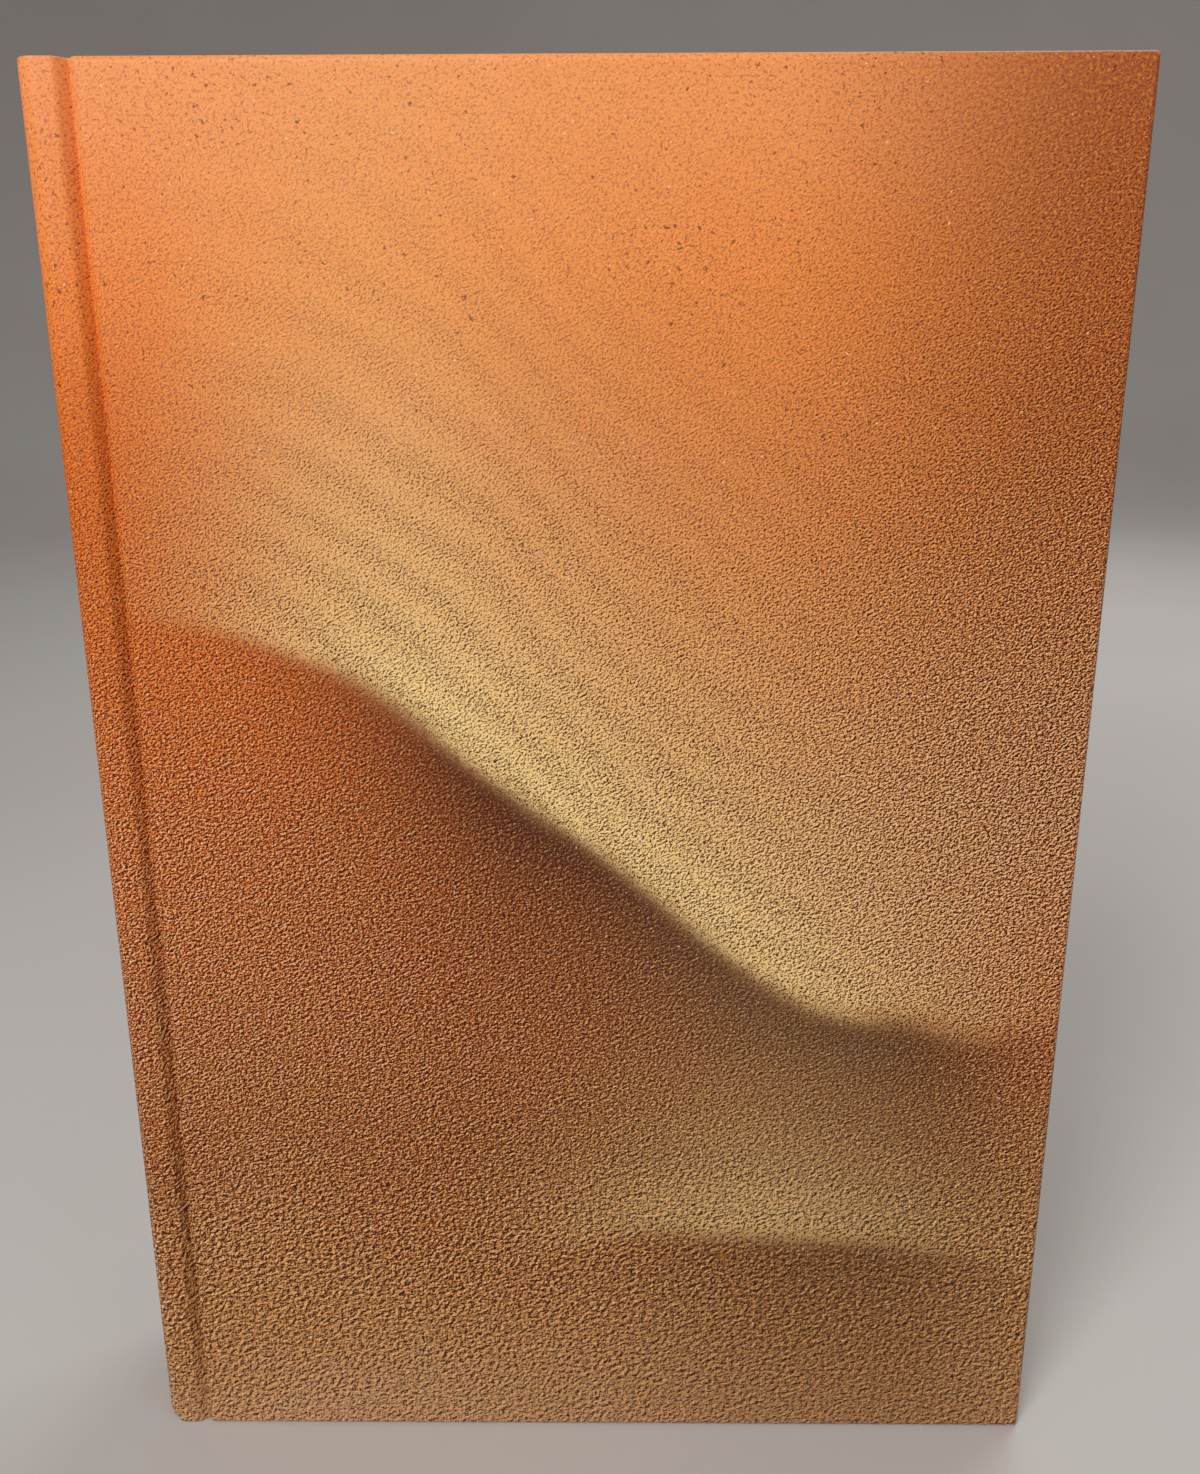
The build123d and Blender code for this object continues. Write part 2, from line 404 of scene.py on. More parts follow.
def cover_wrap(name, side, material):
    """Cover paper of one board, from the ridge of the spine to the fore edge, with its turn-ins."""
    path = joint_path()
    x, depth = path[:, 0], path[:, 1]
    along = lengths(path)
    on_face = np.flatnonzero((depth < hairline) & (x > wall_x))
    first, last = on_face[0], on_face[-1]
    along = along - along[first] + x[first]
    if side > 0:
        along = 2 * along[0] - spine_outline()[2][-1] - along
    foot = np.flatnonzero(x[:first] < wall_x - wall_round + touching)[-1]
    at_joint = np.arange(len(x)) <= foot
    at_wall = (np.arange(len(x)) > foot) & (np.arange(len(x)) <= first)
    at_fore = np.arange(len(x)) >= last

    # The groove runs out towards the tail
    shallow = (1 - groove_tail_share) * (1 - smooth(levels / groove_tail_reach))[:, None]
    fade = np.where(at_joint | at_wall, np.maximum(depth - ridge_drop, 0) * shallow, 0)
    depth = depth - fade

    # The paper's inside: one layer under the joint, two near the ends, and the turn-ins under the board
    tangent = np.gradient(path, axis=0)
    tangent /= np.linalg.norm(tangent, axis=1)[:, None]
    normal = np.stack([-tangent[:, 1], tangent[:, 0]], axis=1)
    layers = paper * (2 - smooth((end_distance - turn_in + turn_in_fade / 2) / turn_in_fade))
    inner_x = np.broadcast_to(x, (len(levels), len(x))).copy()
    inner_depth = np.full(inner_x.shape, cover_inner)
    inner_x[:, at_joint] = x[at_joint] + normal[at_joint, 0] * layers
    inner_depth[:, at_joint] = depth[:, at_joint] + normal[at_joint, 1] * layers
    for k in range(len(levels)):
        start = (inner_x[k, foot], inner_depth[k, foot])
        lining = [start, (lining_x, start[1]), (lining_x, cover_inner), (x[first], cover_inner)]
        under = resampled(filleted(lining, [lining_round, inner_round], inner_step), at_wall.sum() + 1)[1:]
        inner_x[k, at_wall] = under[:, 0]
        inner_depth[k, at_wall] = under[:, 1]
    edge = [(x[last], cover_inner), (case_right, cover_inner), (case_right, cover_inner - 2 * inner_round)]
    under = resampled(filleted(edge, [inner_round], inner_step), at_fore.sum())
    inner_x[:, at_fore] = under[:, 0]
    inner_depth[:, at_fore] = under[:, 1]

    # The rounded head and tail
    outer_depth = np.maximum(depth, rounding(end_distance, face_round))
    fold = rounding(end_distance, fold_round)
    outer_depth = np.where(at_joint, depth + fold, outer_depth)
    outer_x = np.broadcast_to(x, outer_depth.shape)
    inner_fold = rounding(end_distance, inner_round)
    inner_depth = np.where(at_joint, inner_depth, np.minimum(inner_depth, cover_inner - inner_fold))

    def drop(across, deep):
        """The levels, drawn in at the folds beside the groove and at the corners."""
        deepest = np.where(end_side > 0, fold_dip_tail, fold_dip_head)
        dip = deepest * np.exp(-(((across - fold_dip_x) / fold_dip_width) ** 2))
        corner = rounding(case_right - across, corner_round)
        soft = np.where(across > wall_x - touching, rounding(across - wall_x, wall_corner_round), 0)
        corner = corner + soft * (1 - smooth((deep - wall_corner_round / 2) / wall_corner_fade))
        return levels[:, None] + end_side * (dip + corner) * (1 - smooth(end_distance / fold_fade))

    outer = placed(outer_x, outer_depth, drop(outer_x, outer_depth), side)
    inner = placed(inner_x, inner_depth, drop(inner_x, inner_depth), side)
    arc = face_round * np.arccos(np.clip(1 - end_distance / face_round, -1, 1))
    reach = np.where(end_distance < face_round, arc + face_round * (1 - math.pi / 2), end_distance)
    run = np.where(end_side > 0, reach, case_height - reach)
    flat = stacked(along[None, :], run)
    shell = Shell()
    shell.grid(outer, flat)

    # The print goes on over the edges: on each turn-in it is laid out beyond the edge that it folds over
    ahead = math.copysign(1, along[-1] - along[0])
    fore_distance = case_right - inner_x
    beyond_fore = along[-1] + ahead * (cover_inner + fore_distance)
    beyond_head = 2 * case_height + cover_inner - levels[:, None]
    beyond_end = np.where(end_side > 0, -cover_inner - levels[:, None], beyond_head)
    at_fore_edge = fore_distance < end_distance
    turned_along = np.where(at_fore_edge, beyond_fore, along[None, :])
    turned_up = np.where(at_fore_edge, levels[:, None], beyond_end)
    shell.grid(inner, stacked(turned_along, turned_up), flip=True)
    fore = np.stack([flat[:, -1], flat[:, -1] + (ahead * cover_inner, 0)], axis=1)
    shell.grid(np.stack([outer[:, -1], inner[:, -1]], axis=1), fore)
    shell.grid(np.stack([inner[:, 0], outer[:, 0]], axis=1), np.stack([flat[:, 0], flat[:, 0]], axis=1))
    for k, out in ((0, -1), (-1, 1)):
        cap = np.stack([outer[k], inner[k]], axis=0)
        depth_run = np.linalg.norm(cap[1] - cap[0], axis=1)
        far = flat[k] + np.stack([np.zeros_like(depth_run), out * depth_run], axis=1)
        shell.grid(cap, np.stack([flat[k], far], axis=0))
    wrap = piece(name, joined(shell.mesh(name), board_hollow(name, side)), material)
    body = "front_cover" if side < 0 else "back_cover"
    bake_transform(wrap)
    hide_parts(f"{body.split('_')[0]}_cover_sheet")


def board_hollow(name, side):
    """The inside of a cover's paper, which the board fills."""
    low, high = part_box("front_board")
    left = low.x - hinge_x - board_clear
    right = high.x - hinge_x + board_clear
    near = paper - board_clear
    far = cover_inner - paper + board_clear
    edge_round = face_round - near
    corners = [(left, far), (left, near), (right, near), (right, far)]
    path = divided(filleted(corners, [edge_round, edge_round], hollow_step), hollow_longest)
    steps = np.array(hollow_shares) * edge_round
    base = low.z - board_clear
    top = high.z + board_clear
    rows = np.concatenate([base + steps, np.linspace(base, top, hollow_rows)[1:-1], (top - steps)[::-1]])
    gap = np.minimum(rows - base, top - rows)[:, None]
    deep = np.maximum(path[:, 1], near + rounding(gap, edge_round))
    drawn = rounding(deep - near, edge_round)
    across = np.where(path[:, 0] < left + edge_round, left + drawn, path[:, 0])
    across = np.where(path[:, 0] > right - edge_round, right - drawn, across)
    outer = placed(across, deep, rows[:, None], side)
    inner = placed(across[len(rows) // 2], far, rows[:, None], side)
    shell = Shell()
    shell.sheet(outer, inner, np.zeros(2))
    return shell.mesh(name + "_hollow")


def spine_outline():
    """Points, inward normals and distances of the spine's skin from the front seam to the back seam."""
    tip_x = spine_centre - math.sqrt((spine_radius - ridge_round) ** 2 - strip_half**2)
    lean = math.asin(strip_half / (spine_radius - ridge_round))
    crest_x = np.linspace(seam_x, tip_x, crest_points)
    crest = np.stack([crest_x, np.full(crest_points, -crest_y)], axis=1)
    turn = np.linspace(math.pi / 2, lean, ridge_points)[1:]
    tip = np.stack([tip_x - ridge_round * np.cos(turn), -strip_half - ridge_round * np.sin(turn)], axis=1)
    sweep = np.linspace(lean, 0, back_points)[1:]
    back = np.stack([spine_centre - spine_radius * np.cos(sweep), -spine_radius * np.sin(sweep)], axis=1)
    half = np.concatenate([crest, tip, back])
    inward = np.concatenate([
        np.tile((0.0, 1.0), (crest_points, 1)),
        np.stack([np.cos(turn), np.sin(turn)], axis=1),
        np.stack([np.cos(sweep), np.sin(sweep)], axis=1),
    ])
    points = np.concatenate([half, half[-2::-1] * (1, -1)])
    normals = np.concatenate([inward, inward[-2::-1] * (1, -1)])
    return points, normals, lengths(points)


def fold_rows(depth, cap_share, rise_share):
    """The paper's course over one end of the spine: height and depth, outside and inside of the sheet."""
    on_strip = smooth((depth - ridge_depth) / (strip_depth - ridge_depth))
    outer_round = cap_share * depth - cap_clear
    rise = outer_round * (1 + (rise_share - 1) * on_strip)
    hem_round = (1 - cap_share) * depth
    rows = []
    for z in np.linspace(turn_in, hem_round, hem_rows)[:-1]:
        rows.append((z, depth, z, depth - spine_paper))
    tight = max(hem_round - spine_paper, tightest_round)
    hem = max(hem_round, spine_paper + tight)
    for turn in np.linspace(0, math.pi / 2, hem_rows):
        rows.append((
            hem_round - hem_round * math.sin(turn),
            depth - hem_round + hem_round * math.cos(turn),
            hem - tight * math.sin(turn),
            depth - hem + tight * math.cos(turn),
        ))
    tight = max(outer_round - spine_paper, tightest_round)
    cap = max(outer_round, spine_paper + tight)
    for turn in np.linspace(0, math.pi / 2, cap_rows):
        rows.append((
            rise - rise * math.cos(turn),
            outer_round - outer_round * math.sin(turn),
            spine_paper + rise - rise * math.cos(turn),
            cap - tight * math.sin(turn),
        ))
    return np.array(rows)


def spine_wrap(material):
    """Cover paper round the ridges and the spine, turned in over the card strip at both ends."""
    points, normals, along = spine_outline()
    strip = 1 - smooth((np.abs(points[:, 1]) - strip_half) / strip_fade)
    outer, inner, prints = [], [], []
    start = joint_path()
    face_start = np.flatnonzero((start[:, 1] < hairline) & (start[:, 0] > wall_x))[0]
    seam_run = start[face_start, 0] - lengths(start)[face_start]
    for point, normal, share, run in zip(points, normals, strip, along):
        depth = ridge_depth + (strip_depth - ridge_depth) * share
        rows = fold_rows(depth, cap_tail_share, cap_rise_tail_share)
        head = fold_rows(depth, cap_head_share, cap_rise_head_share)[::-1]
        low = np.linspace(rows[-1, 0], 2 * cap_tuck_height, tuck_rows)[1:]
        high = np.linspace(low[-1], case_height - head[0, 0], spine_rows)[1:-1]
        middle = np.concatenate([low, high])
        tuck = cap_tuck * smooth(normal[0] / cap_tuck_lean) * (1 - share)
        body = np.stack([middle, np.zeros_like(middle), middle, np.full_like(middle, spine_paper)], axis=1)
        head[:, 0] = case_height - head[:, 0]
        head[:, 2] = case_height - head[:, 2]
        course = np.concatenate([rows, body, head])
        z_run = lengths(course[:, :2])
        z_run = z_run - z_run[len(rows)] + course[len(rows), 0]
        for side, target in ((0, outer), (2, inner)):
            tucked = rounding(course[:, side], cap_tuck_height) * tuck / cap_tuck_height
            drawn = course[:, side + 1] + tucked
            flat = point[None, :] + normal[None, :] * drawn[:, None]
            target.append(np.stack([hinge_x + flat[:, 0], flat[:, 1], course[:, side]], axis=1))
        prints.append(np.stack([np.full(len(course), seam_run - run), z_run], axis=1))
    outer, inner, prints = np.array(outer), np.array(inner), np.array(prints)
    shell = Shell()
    shell.sheet(outer, inner, prints)
    wrap = piece("spine_wrap", shell.mesh("spine_wrap"), material)
    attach(wrap, "book_block")
    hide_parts("spine_cover_sheet")


def shoulder_y(x, share):
    """How far from the middle a leaf lies at x.

    share runs from minus one at the front leaf to one at the back leaf.
    """
    corners = [
        (case_right, leaf_face),
        (shoulder_foot, leaf_face),
        (shoulder_top, shoulder_crest),
        (2 * shoulder_top, shoulder_crest),
    ]
    outline = filleted(corners, shoulder_rounds, shoulder_step)[::-1]
    flare = np.interp(x, outline[:, 0], outline[:, 1]) - leaf_face
    return share * leaf_face + np.sign(share) * np.abs(share) ** shoulder_flare * flare


def leaves(material):
    """The leaves as one block: thin layers whose edges stand a little in and out."""
    rng = np.random.default_rng(leaf_seed)

    def uneven(spread, wave, phases):
        """A place for each layer's edge, partly by chance and partly in a slow wave."""
        return rng.normal(0, spread, leaf_layers) + wave * np.sin(np.linspace(*phases, leaf_layers))

    edges = np.linspace(-1, 1, leaf_layers + 1)
    rise = uneven(spread=0.00004, wave=0.00005, phases=(0, 9))
    shift = uneven(spread=0.00005, wave=0.00006, phases=(1, 12))
    rise -= rise.max()
    shift -= shift.max()
    rise[[0, -1]] = 0
    shift[[0, -1]] = 0
    share = np.stack([edges[:-1], edges[1:]], axis=1).ravel()
    rise, shift = np.repeat(rise, 2), np.repeat(shift, 2)
    near_x = np.linspace(shoulder_top - shoulder_lead, shoulder_foot + shoulder_trail, shoulder_columns)
    flat_x = np.linspace(shoulder_foot + flat_start, case_right, flat_columns)
    x = np.concatenate([near_x, flat_x])[None, :]
    y = shoulder_y(x, share[:, None])
    left = spine_centre - np.sqrt(leaf_radius**2 - y[:, :1] ** 2)
    right = fore_centre - np.sqrt(leaf_radius**2 - y[:, -1:] ** 2) + shift[:, None]
    across = (x - x[:, :1]) / (x[:, -1:] - x[:, :1])
    bent = np.where(across < unbent_share, x, x[:, :1] + across * (right - x[:, :1]))
    bent = np.concatenate([left, bent], axis=1)
    y = np.concatenate([y[:, :1], y], axis=1)
    z = np.linspace(0, 1, leaf_rows)
    low = leaf_tail - rise
    high = leaf_head + rise
    pile = share[:, None] * leaf_face

    # The head and the tail, then the back and the fore edge, then the first and the last leaf
    shell = Shell()
    shell.grid(stacked(hinge_x + bent, y, high[:, None]), stacked(bent, pile))
    shell.grid(stacked(hinge_x + bent, y, low[:, None]), stacked(bent, pile), flip=True)
    for column in (0, -1):
        rows = low[:, None] + (high - low)[:, None] * z
        wall = stacked(hinge_x + bent[:, column, None], y[:, column, None], rows)
        shell.grid(wall, stacked(rows, pile), flip=column == 0)
    for row in (0, -1):
        rows = (low[row] + (high[row] - low[row]) * z)[:, None]
        shell.grid(stacked(hinge_x + bent[row], y[row], rows), stacked(rows, y[row]))
    block = piece("leaves", shell.mesh("leaves"), material, sharp=20)
    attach(block, "book_block")
    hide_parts("text_block")


def end_band(name, node, upward, material):
    """A sewn band at one end of the leaves' back: a ribbed bead and the tape below it."""
    radius = spine_radius - band_back
    half = math.asin(leaf_face / radius)
    turn = np.linspace(-half, half, bead_columns)
    run = turn * (radius - band_radius)
    around = np.linspace(0, 2 * math.pi, bead_rows)
    past_taper = np.clip(np.abs(run) - run.max() + bead_taper, 0, None)
    ends = np.sqrt(np.clip(1 - (past_taper / bead_taper) ** 2, bead_least, 1))
    lean = thread_lean * np.cos(around)[None, :]
    ribs = 1 - rib_depth + rib_depth * np.abs(np.cos(math.pi * (run[:, None] + lean) / thread_pitch))
    girth = band_radius * ribs * ends[:, None]
    out = radius - band_radius + girth * np.cos(around)[None, :]
    bead_z = leaf_head + band_lift + band_radius + girth * np.sin(around)[None, :]
    flat = stacked(run[:, None], around[None, :] * band_radius)

    def bent(out, angle, z):
        """Points at a distance and an angle from the axis of the spine's arc."""
        x = hinge_x + spine_centre - out * np.cos(angle)
        z = z if upward else case_height - z
        return stacked(x, out * np.sin(angle), z)

    shell = Shell()
    bead = bent(out, turn[:, None], bead_z)
    shell.grid(bead, flat)
    for k in (0, -1):
        middle = np.broadcast_to(bead[k].mean(axis=0), bead[k].shape)
        shell.grid(np.stack([bead[k], middle], axis=0), np.stack([flat[k]] * 2, axis=0))
    drop = np.linspace(leaf_head - band_tape, leaf_head + band_lift + tape_lap, tape_rows)[None, :]
    angle = np.linspace(-half, half, tape_columns)[:, None]
    tape_flat = stacked(angle * radius, drop)
    shell.sheet(bent(radius, angle, drop), bent(radius - tape_thickness, angle, drop), tape_flat)
    band = piece(name, shell.mesh(name), material, sharp=60)
    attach(band, "book_block")
    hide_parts(node)


def pastedown(name, side, material):
    """The glued half of an endpaper and the strip that joins it to the free half at the shoulder."""
    body = "front_cover" if side < 0 else "back_cover"
    low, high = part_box(f"{body.split('_')[0]}_pastedown")
    right = high.x - hinge_x
    thick = cover_inner + endpaper_thickness
    flat_depth = thick - paste_clear
    corners = [(root_x, thick - root_lift), (root_x + root_run, flat_depth), (right, flat_depth)]
    path = filleted(corners, [root_round], root_step)
    bend = path[path[:, 0] < bend_limit]
    strip = resampled(np.concatenate([bend, [(strip_end, flat_depth)]]), strip_columns)
    flat_x = np.linspace(strip_end, right, paste_columns)[1:]
    x = np.concatenate([strip[:, 0], flat_x])
    depth = np.concatenate([strip[:, 1], np.full(len(flat_x), flat_depth)])
    gain = sheet_gain * smooth((x - gain_x) / gain_run)
    sheet = np.where(x < gain_x, thin_sheet, thin_sheet + gain)

    # The strip is a little shorter than the sheet, so that the folds of the cover paper clear it
    half_height = case_height / 2
    z = np.linspace(low.z, high.z, paste_rows)
    inset = end_inset * (1 - smooth((x - inset_x) / inset_run))
    inward = np.sign(half_height - z)[:, None]
    near_end = (np.abs(z - half_height) / half_height)[:, None] ** inset_power
    rows = z[:, None] + inward * inset[None, :] * near_end
    outer = placed(x[None, :], (depth - sheet)[None, :], rows, side)
    inner = placed(x[None, :], depth[None, :], rows, side)
    flat = stacked(x[None, :], rows)
    shell = Shell()
    shell.sheet(outer, inner, flat)
    paste = piece(name, shell.mesh(name), material)
    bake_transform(paste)
    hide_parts(f"{body.split('_')[0]}_pastedown")


def srgb(red, green, blue):
    """A colour given as screen values, in linear light."""
    values = [v / 255 for v in (red, green, blue)]
    return [v / 12.92 if v <= 0.04045 else ((v + 0.055) / 1.055) ** 2.4 for v in values] + [1.0]


def grey(value):
    return (value, value, value, 1.0)


class Paint:
    """A material whose nodes are put together in code."""

    def __init__(self, name, roughness, specular=0.5):
        self.material = bpy.data.materials.new(name)
        self.material.use_nodes = True
        self.tree = self.material.node_tree
        self.shader = self.tree.nodes["Principled BSDF"]
        self.shader.inputs["Roughness"].default_value = roughness
        self.shader.inputs["Specular IOR Level"].default_value = specular

    def node(self, kind, *inputs, **settings):
        made = self.tree.nodes.new(kind)
        for key, value in settings.items():
            setattr(made, key, value)
        for socket, value in zip(made.inputs, inputs):
            self.feed(socket, value)
        return made

    def feed(self, socket, value):
        if value is None:
            return
        if isinstance(value, bpy.types.NodeSocket):
            self.tree.links.new(value, socket)
        else:
            socket.default_value = value

    def math(self, operation, *values):
        return self.node("ShaderNodeMath", *values, operation=operation).outputs[0]

    def flat_place(self):
        """The place on the flat sheet, in millimetres."""
        return self.enlarged(self.node("ShaderNodeUVMap", uv_map="print").outputs[0])

    def solid_place(self):
        """The place in the piece itself, in millimetres."""
        return self.enlarged(self.node("ShaderNodeTexCoord").outputs["Object"])

    def enlarged(self, place):
        made = self.node("ShaderNodeVectorMath", place, None, None, millimetres, operation="SCALE")
        return made.outputs[0]

    def stretched(self, place, factors):
        return self.node("ShaderNodeVectorMath", place, factors, operation="MULTIPLY").outputs[0]

    def moved(self, place, offset):
        return self.node("ShaderNodeVectorMath", place, offset, operation="ADD").outputs[0]

    def noise(self, place, scale, detail=2.0, roughness=0.5, dimensions="2D"):
        made = self.node("ShaderNodeTexNoise", noise_dimensions=dimensions)
        self.feed(made.inputs["Vector"], place)
        self.feed(made.inputs["Scale"], scale)
        self.feed(made.inputs["Detail"], detail)
        self.feed(made.inputs["Roughness"], roughness)
        return made.outputs[0]

    def ramp(self, value, stops, interpolation="EASE"):
        made = self.node("ShaderNodeValToRGB", value)
        band = made.color_ramp
        band.interpolation = interpolation
        band.elements[0].position, band.elements[0].color = stops[0]
        band.elements[1].position, band.elements[1].color = stops[-1]
        for position, color in stops[1:-1]:
            band.elements.new(position).color = color
        return made.outputs[0]

    def mix(self, share, first, second, blend="MIX"):
        made = self.node("ShaderNodeMix", data_type="RGBA", blend_type=blend, clamp_factor=True)
        self.feed(made.inputs[0], share)
        self.feed(made.inputs[6], first)
        self.feed(made.inputs[7], second)
        return made.outputs[2]

    def step(self, value, low, high):
        """A soft step from 0 at low to 1 at high."""
        made = self.node("ShaderNodeMapRange", value, low, high, 0.0, 1.0, interpolation_type="SMOOTHSTEP")
        return made.outputs[0]

    def range(self, value, low, high, first, last):
        return self.node("ShaderNodeMapRange", value, low, high, first, last).outputs[0]

    def bump(self, height, strength, distance):
        made = self.node("ShaderNodeBump")
        made.inputs["Strength"].default_value = strength
        made.inputs["Distance"].default_value = distance
        self.feed(made.inputs["Height"], height)
        self.feed(self.shader.inputs["Normal"], made.outputs[0])

    def color(self, value):
        self.feed(self.shader.inputs["Base Color"], value)
        return self.material


def sand_print():
    """Cover paper printed with sand: salmon at the head, tan at the tail, and two dunes across it."""
    ochre = srgb(224, 142, 46)
    brick = srgb(176, 72, 44)
    shadow = srgb(82, 44, 30)
    glow = srgb(255, 190, 108)
    glint = srgb(255, 216, 166)
    dark_speck = srgb(84, 34, 28)
    pale_speck = srgb(255, 228, 190)
    dunes = (
        {"left": -0.05, "start": 0.62, "fall": -0.26, "swing": 0.06, "phase": 0.7, "depth": 1.0},
        {"left": 0.3, "start": 0.24, "fall": -0.13, "swing": -0.035, "phase": 0.2, "depth": 0.5},
    )
    paint = Paint("cover_print", roughness=0.44, specular=0.22)
    place = paint.flat_place()
    parts = paint.node("ShaderNodeSeparateXYZ", place).outputs
    across = paint.math("DIVIDE", parts[0], case_right * millimetres)
    up = paint.math("DIVIDE", parts[1], case_height * millimetres)
    # Painted shade: the colour darkens towards dark red in the upper right corner, and the grain is also
    # made stronger there
    shade_and_grain_corner = paint.math("MULTIPLY", paint.step(across, 0.6, 1.0), paint.step(up, 0.3, 0.6))
    grain = sand_grain(paint, place, up, shade_and_grain_corner)
    ground = sand_ground(paint, place, across, up, shade_and_grain_corner)
    hue = paint.noise(paint.moved(place, (0.0, 70.0, 0.0)), scale=1.9, detail=2.0)
    ground = paint.mix(paint.range(hue, 0.5, 0.72, first=0.0, last=0.6), ground, ochre)
    ground = paint.mix(paint.range(hue, 0.5, 0.28, first=0.0, last=0.6), ground, brick)
    wander = paint.range(paint.noise(place, scale=0.03, detail=1.0), 0.0, 1.0, first=-0.32, last=0.32)
    for form in dunes:
        ground, grain = dune(paint, ground, grain, wander, across, up, **form)

    # The light and the dark side of each grain
    dark = paint.mix(1.0, ground, shadow, "MULTIPLY")
    light = paint.mix(0.4, ground, glow)
    ground = paint.mix(paint.range(grain, 0.0, -0.75, first=0.0, last=1.0), ground, dark)
    ground = paint.mix(paint.range(grain, 0.2, 0.95, first=0.0, last=1.0), ground, light)
    ground = paint.mix(paint.range(grain, 1.1, 2.1, first=0.0, last=0.6), ground, glint)

    # Dark grains of irregular shape, in loose groups, and a few pale ones
    crowd = paint.noise(place, scale=0.05, detail=2.0)
    seeds = paint.noise(paint.moved(place, (40.0, 15.0, 0.0)), scale=1.05, detail=3.0, roughness=0.6)
    limit = paint.range(crowd, 0.35, 0.65, first=0.72, last=0.65)
    speck = paint.step(paint.math("SUBTRACT", seeds, limit), 0.0, 0.05)
    ground = paint.mix(paint.math("MULTIPLY", speck, 0.7), ground, dark_speck)
    pale_seeds = paint.noise(paint.moved(place, (-60.0, 25.0, 0.0)), scale=1.4, detail=2.0)
    pale = paint.step(pale_seeds, 0.75, 0.8)
    ground = paint.mix(paint.math("MULTIPLY", pale, 0.6), ground, pale_speck)
    paint.bump(paint.noise(place, scale=0.8, detail=2.0), strength=0.08, distance=0.0004)
    return paint.color(ground)


def sand_ground(paint, place, across, up, shade_and_grain_corner):
    """The sand's colour by its height on the cover, tan at the lower right, and painted shade that darkens
    the upper right corner to dark red.
    """
    drift_share = 0.15
    tan_share = 0.6
    painted_shade_share = 0.85
    drift = paint.math("SUBTRACT", paint.noise(place, scale=0.02, detail=3.0), 0.5)
    level = paint.math("MULTIPLY_ADD", drift, drift_share, up)
    ground = paint.ramp(level, [
        (0.0, srgb(182, 148, 112)),
        (0.1, srgb(166, 120, 76)),
        (0.24, srgb(136, 58, 10)),
        (0.4, srgb(176, 66, 4)),
        (0.56, srgb(204, 86, 12)),
        (0.74, srgb(222, 105, 28)),
        (0.88, srgb(248, 136, 58)),
        (1.0, srgb(255, 158, 94)),
    ], "LINEAR")
    tan = paint.math("MULTIPLY", paint.step(across, 0.35, 0.95), paint.step(level, 0.42, 0.18))
    ground = paint.mix(paint.math("MULTIPLY", tan, tan_share), ground, srgb(150, 112, 68))
    # Painted shade: the upper right corner is mixed towards dark red
    return paint.mix(paint.math("MULTIPLY", shade_and_grain_corner, painted_shade_share), ground, srgb(150, 66, 25))


def sand_grain(paint, place, up, shade_and_grain_corner):
    """Light above zero and dark below: short streaks that rise to the right, faint at the head."""
    streak_angle = math.radians(-26)
    streak_stretch = (0.78, 1.0, 1.0)
    corner_grain_gain = 1.3
    whole_gain = 2.4
    turned = paint.node("ShaderNodeVectorRotate", rotation_type="Z_AXIS")
    paint.feed(turned.inputs["Vector"], place)
    turned.inputs["Angle"].default_value = streak_angle
    streak = paint.stretched(turned.outputs[0], streak_stretch)

    def emboss(scale, shift, detail, height_share, slope_share):
        """Noise that is lit along its slope."""
        here = paint.noise(streak, scale, detail, roughness=0.6)
        lower = paint.noise(paint.moved(streak, (0.25 * shift, -shift, 0.0)), scale, detail, roughness=0.6)
        height = paint.math("SUBTRACT", here, 0.5)
        slope = paint.math("SUBTRACT", here, lower)
        return paint.math("MULTIPLY_ADD", height, height_share, paint.math("MULTIPLY", slope, slope_share))

    fine = emboss(scale=3.1, shift=0.13, detail=2.0, height_share=2.4, slope_share=1.9)
    wide = emboss(scale=1.35, shift=0.28, detail=3.0, height_share=1.9, slope_share=2.8)
    deep = emboss(scale=2.0, shift=0.2, detail=3.0, height_share=2.1, slope_share=2.8)

    # The wide grain takes over towards the tail, and the fine grain is left alone at the head
    low = paint.step(up, 0.4, 0.1)
    deep = paint.math("MULTIPLY", deep, paint.math("MULTIPLY_ADD", low, -0.6, 1.0))
    deep = paint.math("MULTIPLY_ADD", wide, low, deep)
    fine = paint.math("MULTIPLY", fine, paint.math("MULTIPLY_ADD", low, -0.4, 1.0))
    grain = paint.math("MULTIPLY_ADD", deep, paint.step(up, 0.95, 0.3), fine)
    strength = paint.ramp(up, [
        (0.0, grey(0.48)),
        (0.18, grey(1.0)),
        (0.5, grey(0.95)),
        (0.78, grey(0.3)),
        (1.0, grey(0.08)),
    ], "LINEAR")
    strength = paint.math("MULTIPLY", strength, paint.math("MULTIPLY_ADD", shade_and_grain_corner, corner_grain_gain, 1.0))
    strength = paint.math("MULTIPLY", strength, whole_gain)
    return paint.math("MULTIPLY", grain, strength)


